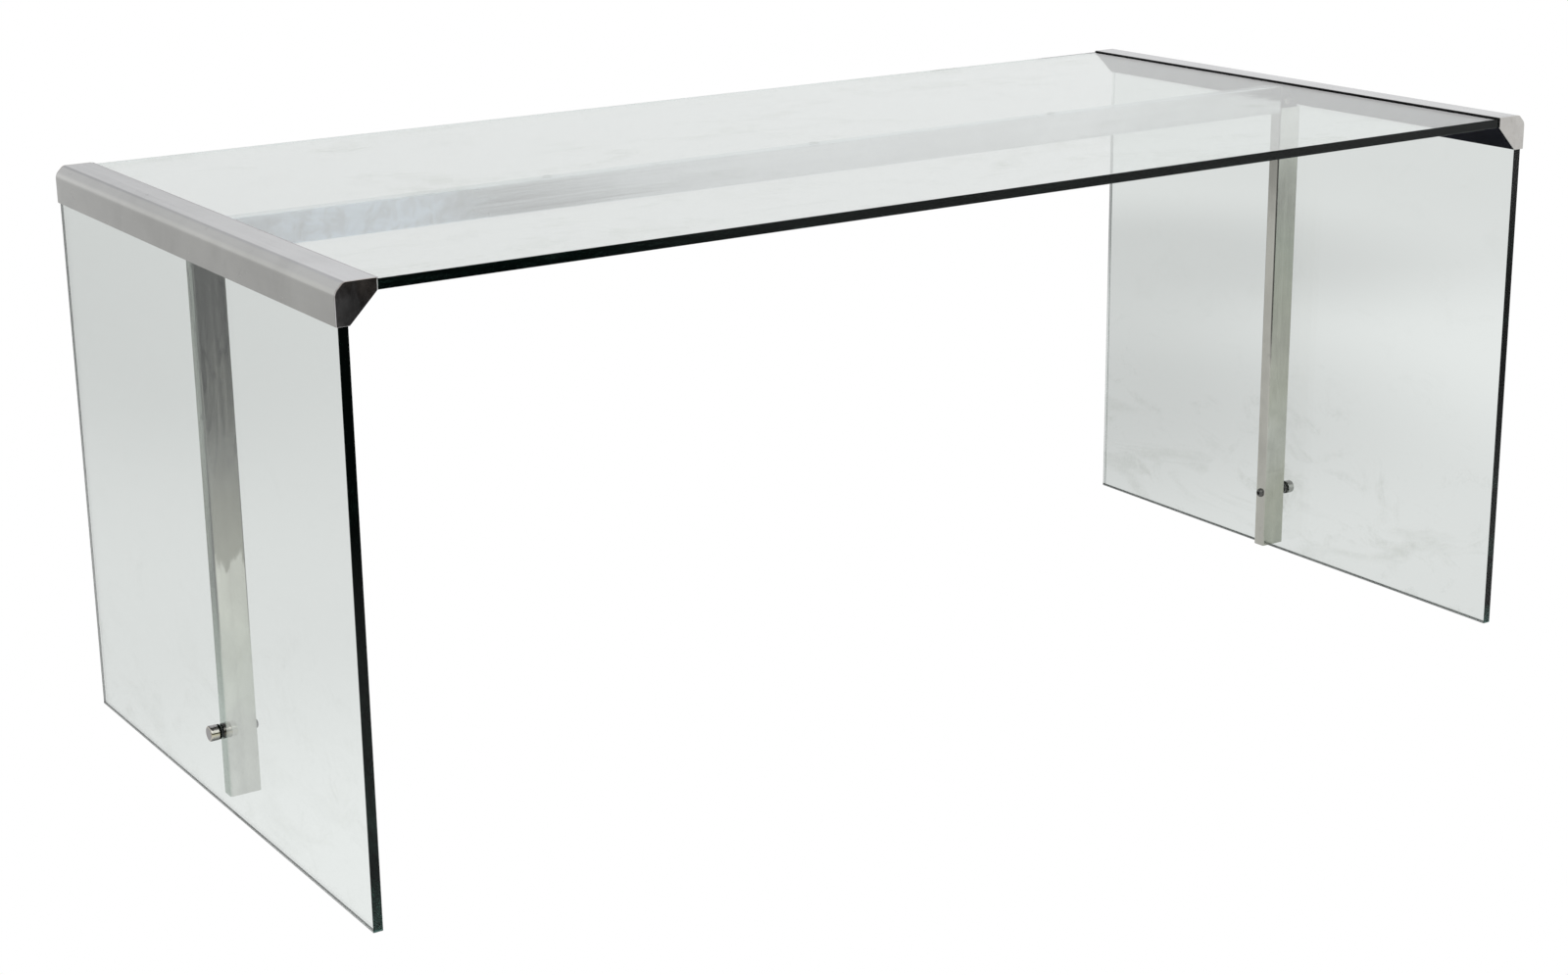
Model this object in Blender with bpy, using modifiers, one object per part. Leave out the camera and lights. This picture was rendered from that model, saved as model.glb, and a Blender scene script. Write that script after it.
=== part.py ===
"""Glass and stainless steel writing desk.

Two glass panels stand on the floor and carry a glass top.  A folded steel rail
covers each corner between top and panel, and a steel beam joins two steel
fins down the middle of the desk.  X runs along the desk, the sitter is at -Y,
and Z is up.  The origin is on the floor below the middle of the top.
"""

import math

import bmesh
import bpy
from mathutils import Matrix

# Overall size, in metres
DESK_LENGTH = 1.763
DESK_DEPTH = 0.850
DESK_HEIGHT = 0.733
GAP = 0.0003

# Glass panels
GLASS_THICKNESS = 0.012
GLASS_ARRIS = 0.0005
TOP_GLASS_DROP = 0.0018
TOP_GLASS_END = 0.0120
LEG_GLASS_INSET = 0.0024

# Corner rails: u is measured inwards from the rail's outer face, v down from its top
SHEET = 0.0012
RAIL_WIDTH = 0.048
RAIL_DROP = 0.047
CHAMFER_WIDTH = 0.0105
CHAMFER_DROP = 0.0107
UPPER_FOLD_RADIUS = 0.0065
LOWER_FOLD_RADIUS = 0.0120
FOLD_STEPS = 5
CAP_THICKNESS = 0.0020
CAP_ARRIS = 0.0002
SEAL_WIDTH = 0.0024
SEAL_HEIGHT = 0.0013
SEAL_ROUND = 0.0007
BEAD_SIZE = 0.0016
PACKING_THICKNESS = 0.0006
PACKING_TOP = 0.020
PACKING_HEIGHT = 0.024

# Beam and fins
TUBE_WIDTH = 0.020
TUBE_WALL = 0.0020
TUBE_ROUND = 0.0022
TUBE_STEPS = 4
BEAM_HEIGHT = 0.040
PAD_RADIUS = 0.006
PAD_THICKNESS = 0.0010
PAD_SPACING = 0.400
FIN_DEPTH = 0.040
FIN_TOP = 0.0485
FIN_CLEARANCE = 0.015
PLUG_HEIGHT = 0.008

# Lugs that join rail, beam and fin
LUG_THICKNESS = 0.004
LUG_SCREW_U = 0.0380
LUG_SCREW_V = 0.0395
LUG_HOLE_RADIUS = 0.0028
LUG_TONGUE = 0.025
LUG_FOOT = 0.0215

# Bolt near the foot of each fin
BOLT_HEIGHT = 0.099
BOLT_RADIUS = 0.0040
BOLT_HOLE_RADIUS = 0.0043
HEAD_RADIUS = 0.00675
HEAD_HEIGHT = 0.0043
SOCKET_RADIUS = 0.0029
SOCKET_DEPTH = 0.0028
GLASS_HOLE_RADIUS = 0.0080
WASHER_RADIUS = 0.0093
WASHER_THICKNESS = 0.0010
KNOB_WASHER_THICKNESS = 0.0023
KNOB_RADIUS = 0.0098
KNOB_LENGTH = 0.0110
KNOB_ROUND = 0.0016
KNOB_BORE_DEPTH = 0.0085
TURN_STEPS = 40

# Places worked out from the sizes above, as u and v of a rail
TOP_GLASS_FACE = TOP_GLASS_DROP + GLASS_THICKNESS
LEG_GLASS_FACE = LEG_GLASS_INSET + GLASS_THICKNESS
SUPPORT_TOP = TOP_GLASS_FACE + GAP
SUPPORT_SIDE = LEG_GLASS_FACE + GAP
WEB_TOP = SUPPORT_TOP + 0.0007
WEB_FOOT = SUPPORT_SIDE + 0.0006
GLASS_DEPTH = DESK_DEPTH - 2 * (CAP_THICKNESS + GAP)
BEAM_TOP = TOP_GLASS_FACE + PAD_THICKNESS + 2 * GAP
SPACER_GAP = WASHER_THICKNESS + 2 * GAP
FIN_OUTER = LEG_GLASS_FACE + SPACER_GAP
FIN_INNER = FIN_OUTER + FIN_DEPTH
BEAM_END = FIN_INNER + GAP
KNOB_FACE = LEG_GLASS_INSET - KNOB_WASHER_THICKNESS - 2 * GAP

SIDES = {"left": -1, "right": 1}
ENDS = {"front": -1, "rear": 1}

MATERIALS = {
    "clear_glass": {"colour": (0.82, 0.90, 0.87), "roughness": 0.0, "metallic": 0.0},
    "satin_steel": {"colour": (0.62, 0.62, 0.60), "roughness": 0.24, "metallic": 1.0},
    "polished_steel": {"colour": (0.70, 0.69, 0.67), "roughness": 0.10, "metallic": 1.0},
    "black_lacquer": {"colour": (0.012, 0.012, 0.014), "roughness": 0.35, "metallic": 0.0},
    "black_rubber": {"colour": (0.015, 0.015, 0.015), "roughness": 0.60, "metallic": 0.0},
    "clear_plastic": {"colour": (0.80, 0.82, 0.80), "roughness": 0.15, "metallic": 0.0},
}
SEE_THROUGH = {"clear_glass": 1.52, "clear_plastic": 1.45}


def clear_scene():
    for obj in list(bpy.data.objects):
        bpy.data.objects.remove(obj, do_unlink=True)


def new_collection(name):
    collection = bpy.data.collections.new(name)
    bpy.context.scene.collection.children.link(collection)
    return collection


def material_for(node, kind):
    """A material of its own for one node, of one of the kinds above."""
    look = MATERIALS[kind]
    material = bpy.data.materials.new(f"{node}_{kind}")
    material.use_nodes = True
    shader = material.node_tree.nodes["Principled BSDF"]
    shader.inputs["Base Color"].default_value = (*look["colour"], 1.0)
    shader.inputs["Roughness"].default_value = look["roughness"]
    shader.inputs["Metallic"].default_value = look["metallic"]
    if kind in SEE_THROUGH:
        shader.inputs["Transmission Weight"].default_value = 1.0
        shader.inputs["IOR"].default_value = SEE_THROUGH[kind]
    material.diffuse_color = (*look["colour"], 1.0)
    return material


def add_node(name, mesh, kind, place):
    """A named part in the desk's collection, at the given world matrix."""
    obj = bpy.data.objects.new(name, mesh)
    obj.matrix_world = place
    mesh.materials.append(material_for(name, kind))
    desk.objects.link(obj)
    return obj


def add_cutter(name, mesh, place):
    obj = bpy.data.objects.new(name, mesh)
    obj.matrix_world = place
    obj.hide_render = True
    obj.display_type = "WIRE"
    cutters.objects.link(obj)
    return obj


def cut(obj, cutter):
    boolean = obj.modifiers.new(cutter.name, "BOOLEAN")
    boolean.operation = "DIFFERENCE"
    boolean.solver = "EXACT"
    boolean.object = cutter


def bevel_edges(obj, width, segments):
    bevel = obj.modifiers.new("Edge rounding", "BEVEL")
    bevel.width = width
    bevel.segments = segments
    bevel.limit_method = "ANGLE"
    bevel.angle_limit = math.radians(40)


# Ways to lay a shape drawn in its own XY plane, with its thickness or axis along its own Z
def section_along_y(x=0.0, y=0.0, z=0.0):
    """Own X and Y become world X and Z."""
    return Matrix.Translation((x, y, z)) @ Matrix.Rotation(math.pi / 2, 4, "X")


def section_along_x(x=0.0, y=0.0, z=0.0):
    """Own X and Y become world Y and Z, and own Z becomes world X."""
    turn = Matrix.Rotation(math.pi / 2, 4, "Z") @ Matrix.Rotation(math.pi / 2, 4, "X")
    return Matrix.Translation((x, y, z)) @ turn


def axis_outwards(side, u, z):
    """Own Z points out of the desk at this side, along the bolt's axis."""
    x = side * (DESK_LENGTH / 2 - u)
    return Matrix.Translation((x, 0, z)) @ Matrix.Rotation(side * math.pi / 2, 4, "Y")


def rail_points(side, points):
    """World X and Z of points given as (u, v) of the rail at this side."""
    return [(side * (DESK_LENGTH / 2 - u), DESK_HEIGHT - v) for u, v in points]


def arc(centre, radius, start, end, steps):
    """Points on an arc, with its angles in degrees."""
    points = []
    for step in range(steps + 1):
        angle = math.radians(start + (end - start) * step / steps)
        points.append((centre[0] + radius * math.cos(angle), centre[1] + radius * math.sin(angle)))
    return points


def rounded_rectangle(width, height, radius):
    right = width / 2 - radius
    top = height / 2 - radius
    corners = [((right, top), 0), ((-right, top), 90), ((-right, -top), 180), ((right, -top), 270)]
    outline = []
    for centre, start in corners:
        outline += arc(centre, radius, start, start + 90, TUBE_STEPS)
    return outline


def tube_outlines(width, height):
    inner_round = TUBE_ROUND - 0.0008
    outer = rounded_rectangle(width, height, TUBE_ROUND)
    inner = rounded_rectangle(width - 2 * TUBE_WALL, height - 2 * TUBE_WALL, inner_round)
    return [outer, inner]


def rounded_corner(before, corner, after, radius, steps):
    """The arc that rounds one corner of an outline."""
    back = (before[0] - corner[0], before[1] - corner[1])
    ahead = (after[0] - corner[0], after[1] - corner[1])
    turn = math.acos((back[0] * ahead[0] + back[1] * ahead[1]) / (math.hypot(*back) * math.hypot(*ahead)))
    reach = radius / math.tan(turn / 2)
    first = [corner[i] + back[i] / math.hypot(*back) * reach for i in (0, 1)]
    last = [corner[i] + ahead[i] / math.hypot(*ahead) * reach for i in (0, 1)]
    to_centre = radius / math.sin(turn / 2)
    middle = [(first[i] + last[i]) / 2 - corner[i] for i in (0, 1)]
    centre = [corner[i] + middle[i] / math.hypot(*middle) * to_centre for i in (0, 1)]
    start = math.atan2(first[1] - centre[1], first[0] - centre[0])
    sweep = math.atan2(last[1] - centre[1], last[0] - centre[0]) - start
    sweep = (sweep + math.pi) % (2 * math.pi) - math.pi
    return arc(centre, radius, math.degrees(start), math.degrees(start + sweep), steps)


def folded_outline():
    """The rail's outer outline from lip to foot."""
    lip = (RAIL_WIDTH, 0.0)
    upper = (CHAMFER_WIDTH, 0.0)
    lower = (0.0, CHAMFER_DROP)
    foot = (0.0, RAIL_DROP)
    upper_fold = rounded_corner(lip, upper, lower, UPPER_FOLD_RADIUS, FOLD_STEPS)
    lower_fold = rounded_corner(upper, lower, foot, LOWER_FOLD_RADIUS, 2 * FOLD_STEPS)
    return [lip, *upper_fold, *lower_fold, foot]


def web_u(v, clearance=0.0):
    """The u of the slanted web's face at height v, moved away from it by clearance."""
    run = RAIL_WIDTH - WEB_FOOT
    rise = RAIL_DROP - WEB_TOP
    return RAIL_WIDTH - (v - WEB_TOP) * run / rise + clearance * math.hypot(run, rise) / rise


def prism_mesh(name, outlines, thickness):
    """A flat shape with straight sides, centred on its own XY plane; later outlines are holes."""
    curve = bpy.data.curves.new(name, "CURVE")
    curve.dimensions = "2D"
    curve.fill_mode = "BOTH"
    curve.extrude = thickness / 2
    for outline in outlines:
        spline = curve.splines.new("POLY")
        spline.points.add(len(outline) - 1)
        for point, (a, b) in zip(spline.points, outline):
            point.co = (a, b, 0, 1)
        spline.use_cyclic_u = True
    guide = bpy.data.objects.new(name, curve)
    bpy.context.scene.collection.objects.link(guide)
    graph = bpy.context.evaluated_depsgraph_get()
    mesh = bpy.data.meshes.new_from_object(guide.evaluated_get(graph))
    bpy.data.objects.remove(guide)
    return welded(mesh)


def plate_mesh(name, outline, thickness):
    """A flat shape without holes, centred on its own XY plane, with one face on each side."""
    count = len(outline)
    points = [(a, b, z) for z in (-thickness / 2, thickness / 2) for a, b in outline]
    sides = [(i, (i + 1) % count, (i + 1) % count + count, i + count) for i in range(count)]
    mesh = bpy.data.meshes.new(name)
    mesh.from_pydata(points, [], [tuple(range(count)), tuple(range(count, 2 * count)), *sides])
    return welded(mesh)


def welded(mesh):
    shape = bmesh.new()
    shape.from_mesh(mesh)
    bmesh.ops.remove_doubles(shape, verts=shape.verts, dist=0.00001)
    bmesh.ops.recalc_face_normals(shape, faces=shape.faces)
    shape.to_mesh(mesh)
    shape.free()
    return mesh


def box_mesh(name, size):
    shape = bmesh.new()
    bmesh.ops.create_cube(shape, size=1.0, matrix=Matrix.Diagonal((*size, 1.0)))
    mesh = bpy.data.meshes.new(name)
    shape.to_mesh(mesh)
    shape.free()
    return mesh


def cylinder_mesh(name, radius, length, segments=TURN_STEPS):
    shape = bmesh.new()
    bmesh.ops.create_cone(
        shape, cap_ends=True, segments=segments, radius1=radius, radius2=radius, depth=length
    )
    mesh = bpy.data.meshes.new(name)
    shape.to_mesh(mesh)
    shape.free()
    return mesh


def turned_part(name, profile, kind, place, closed):
    """A profile of (radius, height) points turned about its own Z; closed makes a ring."""
    mesh = bpy.data.meshes.new(name)
    last = len(profile) - 1
    edges = [(i, i + 1) for i in range(last)]
    if closed:
        edges.append((last, 0))
    mesh.from_pydata([(radius, 0, height) for radius, height in profile], edges, [])
    obj = add_node(name, mesh, kind, place)
    screw = obj.modifiers.new("Turning", "SCREW")
    screw.steps = TURN_STEPS
    screw.render_steps = TURN_STEPS
    screw.use_merge_vertices = True
    screw.merge_threshold = 0.00001
    screw.use_normal_calculate = True
    screw.use_normal_flip = closed
    return obj


# Glass
def add_top_glass():
    size = (DESK_LENGTH - 2 * TOP_GLASS_END, GLASS_DEPTH, GLASS_THICKNESS)
    z = DESK_HEIGHT - TOP_GLASS_DROP - GLASS_THICKNESS / 2
    top = add_node("top_glass", box_mesh("top_glass", size), "clear_glass", Matrix.Translation((0, 0, z)))
    bevel_edges(top, GLASS_ARRIS, 1)


def add_leg_glass(label, side):
    name = f"{label}_leg_glass"
    height = DESK_HEIGHT - TOP_GLASS_FACE - GAP
    x = side * (DESK_LENGTH / 2 - LEG_GLASS_INSET - GLASS_THICKNESS / 2)
    mesh = box_mesh(name, (GLASS_THICKNESS, GLASS_DEPTH, height))
    leg = add_node(name, mesh, "clear_glass", Matrix.Translation((x, 0, height / 2)))
    bevel_edges(leg, GLASS_ARRIS, 1)
    bore = cylinder_mesh(f"{name}_bore", GLASS_HOLE_RADIUS, 2 * GLASS_THICKNESS)
    place = axis_outwards(side, LEG_GLASS_INSET + GLASS_THICKNESS / 2, BOLT_HEIGHT)
    cut(leg, add_cutter(f"{name}_bore", bore, place))


# Corner rails
def add_rail_cover(label, side):
    """A sheet folded over the corner: lip, chamfer and outer face."""
    name = f"{label}_rail_cover"
    shape = bmesh.new()
    profile = rail_points(side, folded_outline())
    line = [shape.verts.new((x, -GLASS_DEPTH / 2, z)) for x, z in profile]
    edges = [shape.edges.new(pair) for pair in zip(line, line[1:])]
    swept = bmesh.ops.extrude_edge_only(shape, edges=edges)["geom"]
    moved = [part for part in swept if isinstance(part, bmesh.types.BMVert)]
    bmesh.ops.translate(shape, verts=moved, vec=(0, GLASS_DEPTH, 0))
    bmesh.ops.recalc_face_normals(shape, faces=shape.faces)
    shape.normal_update()
    # The sheet's thickness goes inwards, so each face has to look out of the desk.
    if sum(face.normal.z * face.calc_area() for face in shape.faces) < 0:
        bmesh.ops.reverse_faces(shape, faces=shape.faces)
    mesh = bpy.data.meshes.new(name)
    shape.to_mesh(mesh)
    shape.free()
    cover = add_node(name, mesh, "satin_steel", Matrix.Identity(4))
    sheet = cover.modifiers.new("Sheet", "SOLIDIFY")
    sheet.thickness = SHEET
    sheet.offset = -1.0
    sheet.use_even_offset = True


def add_corner_support(label, side):
    """A folded triangular tube in the corner below the top and beside the leg."""
    name = f"{label}_corner_support"
    outer = [
        (SUPPORT_SIDE, SUPPORT_TOP),
        (RAIL_WIDTH, SUPPORT_TOP),
        (RAIL_WIDTH, WEB_TOP),
        (WEB_FOOT, RAIL_DROP),
        (SUPPORT_SIDE, RAIL_DROP),
    ]
    hole_side = SUPPORT_SIDE + SHEET
    hole_top = SUPPORT_TOP + SHEET
    slope = (RAIL_DROP - WEB_TOP) / (RAIL_WIDTH - WEB_FOOT)
    web_v = WEB_TOP + (RAIL_WIDTH - web_u(WEB_TOP, -SHEET)) * -slope
    hole = [
        (hole_side, hole_top),
        (RAIL_WIDTH - (hole_top - web_v) / slope, hole_top),
        (hole_side, web_v + (RAIL_WIDTH - hole_side) * slope),
    ]
    outlines = [rail_points(side, outer), rail_points(side, hole)]
    add_node(name, prism_mesh(name, outlines, GLASS_DEPTH), "black_lacquer", section_along_y())


def add_end_cap(label, side, end, direction):
    """A plate over the end of the rail, the glass and the corner support."""
    name = f"{label}_{end}_end_cap"
    outline = folded_outline() + [(WEB_FOOT, RAIL_DROP), (RAIL_WIDTH, TOP_GLASS_FACE)]
    y = direction * (DESK_DEPTH - CAP_THICKNESS) / 2
    mesh = plate_mesh(name, rail_points(side, outline), CAP_THICKNESS)
    cap = add_node(name, mesh, "satin_steel", section_along_y(y=y))
    bevel_edges(cap, CAP_ARRIS, 2)


def add_edge_bead(label, side, end, direction):
    """A bead of clear sealant where the end cap meets the edge of the top glass."""
    name = f"{label}_{end}_edge_bead"
    corner = (side * (DESK_LENGTH / 2 - RAIL_WIDTH - GAP), direction * (GLASS_DEPTH / 2 + GAP))
    inwards = (corner[0] - side * BEAD_SIZE, corner[1])
    outwards = (corner[0], corner[1] + direction * BEAD_SIZE)
    middle = (corner[0] - side * BEAD_SIZE * 0.62, corner[1] + direction * BEAD_SIZE * 0.62)
    height = GLASS_THICKNESS - 2 * GLASS_ARRIS
    z = DESK_HEIGHT - TOP_GLASS_DROP - GLASS_THICKNESS / 2
    mesh = plate_mesh(name, [corner, inwards, middle, outwards], height)
    add_node(name, mesh, "clear_plastic", Matrix.Translation((0, 0, z)))


def add_glazing_seal(label, side):
    """A bead in the step between the rail's lip and the top glass."""
    name = f"{label}_glazing_seal"
    near = RAIL_WIDTH + GAP
    low = TOP_GLASS_DROP - GAP
    high = low - SEAL_HEIGHT
    centre = (near + SEAL_WIDTH - SEAL_ROUND, high + SEAL_ROUND)
    outline = [(near, low), (near, high), *arc(centre, SEAL_ROUND, -90, 0, 4), (near + SEAL_WIDTH, low)]
    mesh = prism_mesh(name, [rail_points(side, outline)], GLASS_DEPTH)
    add_node(name, mesh, "black_rubber", section_along_y())


def add_leg_packing(label, side):
    """A strip between the rail's outer face and the leg glass."""
    name = f"{label}_leg_packing"
    u = SHEET + GAP + PACKING_THICKNESS / 2
    x = side * (DESK_LENGTH / 2 - u)
    z = DESK_HEIGHT - PACKING_TOP - PACKING_HEIGHT / 2
    mesh = box_mesh(name, (PACKING_THICKNESS, GLASS_DEPTH, PACKING_HEIGHT))
    add_node(name, mesh, "black_rubber", Matrix.Translation((x, 0, z)))


# Beam, fins and the lugs between them
def add_centre_beam():
    """A rectangular tube under the glass, from one fin to the other."""
    z = DESK_HEIGHT - BEAM_TOP - BEAM_HEIGHT / 2
    mesh = prism_mesh("centre_beam", tube_outlines(TUBE_WIDTH, BEAM_HEIGHT), DESK_LENGTH - 2 * BEAM_END)
    add_node("centre_beam", mesh, "satin_steel", section_along_x(z=z))


def add_beam_pads():
    for label, place in (("left", -PAD_SPACING), ("middle", 0.0), ("right", PAD_SPACING)):
        name = f"{label}_beam_pad"
        z = DESK_HEIGHT - TOP_GLASS_FACE - GAP - PAD_THICKNESS / 2
        mesh = cylinder_mesh(name, PAD_RADIUS, PAD_THICKNESS)
        add_node(name, mesh, "clear_plastic", Matrix.Translation((place, 0, z)))


def add_fin(label, side):
    """An upright tube beside the leg glass, bored through for the bolt."""
    name = f"{label}_fin"
    top = DESK_HEIGHT - FIN_TOP
    x = side * (DESK_LENGTH / 2 - FIN_OUTER - FIN_DEPTH / 2)
    place = Matrix.Translation((x, 0, (top + FIN_CLEARANCE) / 2))
    mesh = prism_mesh(name, tube_outlines(FIN_DEPTH, TUBE_WIDTH), top - FIN_CLEARANCE)
    fin = add_node(name, mesh, "satin_steel", place)
    bore = cylinder_mesh(f"{name}_bore", BOLT_HOLE_RADIUS, 2 * FIN_DEPTH)
    middle = axis_outwards(side, FIN_OUTER + FIN_DEPTH / 2, BOLT_HEIGHT)
    cut(fin, add_cutter(f"{name}_bore", bore, middle))


def add_fin_plug(label, side):
    name = f"{label}_fin_plug"
    clearance = 2 * (TUBE_WALL + GAP)
    outline = rounded_rectangle(FIN_DEPTH - clearance, TUBE_WIDTH - clearance, TUBE_ROUND - 0.0006)
    x = side * (DESK_LENGTH / 2 - FIN_OUTER - FIN_DEPTH / 2)
    place = Matrix.Translation((x, 0, FIN_CLEARANCE + PLUG_HEIGHT / 2))
    add_node(name, prism_mesh(name, [outline], PLUG_HEIGHT), "black_rubber", place)


def circle(centre, radius, corners=36):
    step = 360 / corners
    return arc(centre, radius, 0, 360 - step, corners - 1)


def bored_plate(name, side, outline, y):
    """A lug plate standing across the desk, bored for the lug screw."""
    bore = circle(rail_points(side, [(LUG_SCREW_U, LUG_SCREW_V)])[0], LUG_HOLE_RADIUS)
    mesh = prism_mesh(name, [rail_points(side, outline), bore], LUG_THICKNESS)
    add_node(name, mesh, "black_lacquer", section_along_y(y=y))


def add_frame_lug(label, side):
    """A plate whose tongue fits in the beam and whose foot fits in the fin."""
    wall = TUBE_WALL + 0.0009
    head = BEAM_TOP + wall + 0.0015
    heel = FIN_TOP - 0.0035
    outline = [
        (BEAM_END + LUG_TONGUE, head),
        (web_u(head, 2 * GAP), head),
        (web_u(heel, 2 * GAP), heel),
        (FIN_OUTER + wall, FIN_TOP + LUG_FOOT),
        (FIN_INNER - wall, FIN_TOP + LUG_FOOT),
        (FIN_INNER - wall, FIN_TOP - 2 * GAP),
        (BEAM_END + LUG_TONGUE, FIN_TOP - 2 * GAP),
    ]
    bored_plate(f"{label}_frame_lug", side, outline, -(LUG_THICKNESS / 2 + GAP))


def add_rail_lug(label, side):
    """A plate fixed to the slanted web, beside the frame lug."""
    edge = BEAM_END - GAP - 0.0030
    head = BEAM_TOP + 0.0040
    base = FIN_TOP - 2 * GAP
    heel = FIN_TOP - 0.0035
    outline = [
        (edge, head),
        (web_u(head, GAP), head),
        (web_u(heel, GAP), heel),
        (web_u(heel, GAP), base),
        (edge, base),
    ]
    bored_plate(f"{label}_rail_lug", side, outline, LUG_THICKNESS / 2 + GAP)


def add_lug_screw(label, side):
    """A button head screw through both lugs, with its head to the front."""
    radius = 0.0025
    head_radius = 0.00475
    head_height = 0.0027
    tip = -(2 * LUG_THICKNESS + 0.0065)
    crown = arc((0.0023, 0.0), head_height, 90, 25, 4)
    profile = [(0, head_height), *crown, (head_radius, 0.0004), (head_radius, 0)]
    profile += [(radius, 0), (radius, tip), (0, tip)]
    x, z = rail_points(side, [(LUG_SCREW_U, LUG_SCREW_V)])[0]
    y = -(LUG_THICKNESS + 2 * GAP)
    screw = turned_part(f"{label}_lug_screw", profile, "polished_steel", section_along_y(x, y, z), False)
    socket = cylinder_mesh(f"{label}_lug_socket", 0.0017, 0.0030, 6)
    place = section_along_y(x, y, z) @ Matrix.Translation((0, 0, head_height))
    cut(screw, add_cutter(f"{label}_lug_socket", socket, place))


def add_lug_nut(label, side):
    name = f"{label}_lug_nut"
    thickness = 0.0040
    outlines = [circle((0, 0), 0.0046, 6), circle((0, 0), LUG_HOLE_RADIUS)]
    x, z = rail_points(side, [(LUG_SCREW_U, LUG_SCREW_V)])[0]
    y = LUG_THICKNESS + 2 * GAP + thickness / 2
    add_node(name, prism_mesh(name, outlines, thickness), "polished_steel", section_along_y(x, y, z))


# Bolt, bushing, washers and knob near the foot of each fin
def add_glass_bolt(label, side):
    """A button head bolt through fin and glass, with its head inside the desk."""
    tip = FIN_INNER - KNOB_FACE + KNOB_BORE_DEPTH - 2 * GAP
    crown = arc((0.0024, 0.0), HEAD_HEIGHT, -90, -15, 6)
    profile = [(0, tip), (BOLT_RADIUS - 0.0006, tip), (BOLT_RADIUS, tip - 0.0006), (BOLT_RADIUS, 0)]
    profile += [(HEAD_RADIUS, 0), *reversed(crown), (0, -HEAD_HEIGHT)]
    place = axis_outwards(side, FIN_INNER + GAP, BOLT_HEIGHT)
    bolt = turned_part(f"{label}_glass_bolt", profile, "polished_steel", place, False)
    socket = cylinder_mesh(f"{label}_bolt_socket", SOCKET_RADIUS, 2 * SOCKET_DEPTH, 6)
    cut(bolt, add_cutter(f"{label}_bolt_socket", socket, place @ Matrix.Translation((0, 0, -HEAD_HEIGHT))))


def ring_profile(inner, outer, low, high):
    return [(outer, high), (outer, low), (inner, low), (inner, high)]


def add_washers(label, side):
    """Rubber washers on each face of the glass."""
    thick_ring = ring_profile(BOLT_HOLE_RADIUS, WASHER_RADIUS, 0, KNOB_WASHER_THICKNESS)
    knob_side = axis_outwards(side, LEG_GLASS_INSET - GAP, BOLT_HEIGHT)
    turned_part(f"{label}_knob_washer", thick_ring, "black_rubber", knob_side, True)
    thin_ring = ring_profile(BOLT_HOLE_RADIUS, WASHER_RADIUS, 0, WASHER_THICKNESS)
    fin_side = axis_outwards(side, FIN_OUTER - GAP, BOLT_HEIGHT)
    turned_part(f"{label}_spacer_washer", thin_ring, "black_rubber", fin_side, True)


def add_glass_bushing(label, side):
    length = GLASS_THICKNESS - 2 * GAP
    ring = ring_profile(BOLT_HOLE_RADIUS, GLASS_HOLE_RADIUS - GAP, 0, length)
    place = axis_outwards(side, LEG_GLASS_FACE - GAP, BOLT_HEIGHT)
    turned_part(f"{label}_glass_bushing", ring, "black_rubber", place, True)


def add_bolt_knob(label, side):
    """A round nut with a blind bore, outside the glass."""
    shoulder = KNOB_RADIUS - KNOB_ROUND
    outer_edge = arc((shoulder, KNOB_LENGTH - KNOB_ROUND), KNOB_ROUND, 90, 0, 6)
    inner_edge = arc((KNOB_RADIUS - 0.0005, 0.0005), 0.0005, 0, -90, 3)
    bore = [(BOLT_HOLE_RADIUS, 0), (BOLT_HOLE_RADIUS, KNOB_BORE_DEPTH), (0, KNOB_BORE_DEPTH)]
    profile = [(0, KNOB_LENGTH), *outer_edge, *inner_edge, *bore]
    place = axis_outwards(side, KNOB_FACE, BOLT_HEIGHT)
    turned_part(f"{label}_bolt_knob", profile, "polished_steel", place, False)


clear_scene()
desk = new_collection("glass_desk")
cutters = new_collection("cutters")

add_top_glass()
add_centre_beam()
add_beam_pads()
for label, side in SIDES.items():
    add_leg_glass(label, side)
    add_rail_cover(label, side)
    add_corner_support(label, side)
    for end, direction in ENDS.items():
        add_end_cap(label, side, end, direction)
        add_edge_bead(label, side, end, direction)
    add_glazing_seal(label, side)
    add_leg_packing(label, side)
    add_fin(label, side)
    add_fin_plug(label, side)
    add_frame_lug(label, side)
    add_rail_lug(label, side)
    add_lug_screw(label, side)
    add_lug_nut(label, side)
    add_glass_bolt(label, side)
    add_washers(label, side)
    add_glass_bushing(label, side)
    add_bolt_knob(label, side)
bpy.context.view_layer.update()
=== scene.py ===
"""Looks for the glass and steel desk: materials, studio floor, soft light and camera."""

import math

import bpy
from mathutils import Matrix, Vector


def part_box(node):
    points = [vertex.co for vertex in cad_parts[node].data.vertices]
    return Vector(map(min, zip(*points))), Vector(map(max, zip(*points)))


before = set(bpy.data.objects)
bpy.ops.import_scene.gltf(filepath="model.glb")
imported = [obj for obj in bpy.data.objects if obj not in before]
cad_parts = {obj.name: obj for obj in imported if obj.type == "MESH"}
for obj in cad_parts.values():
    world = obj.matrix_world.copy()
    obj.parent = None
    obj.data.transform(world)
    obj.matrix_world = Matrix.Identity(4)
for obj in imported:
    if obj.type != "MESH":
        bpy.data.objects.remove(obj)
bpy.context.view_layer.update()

X, Y, Z = range(3)


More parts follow.
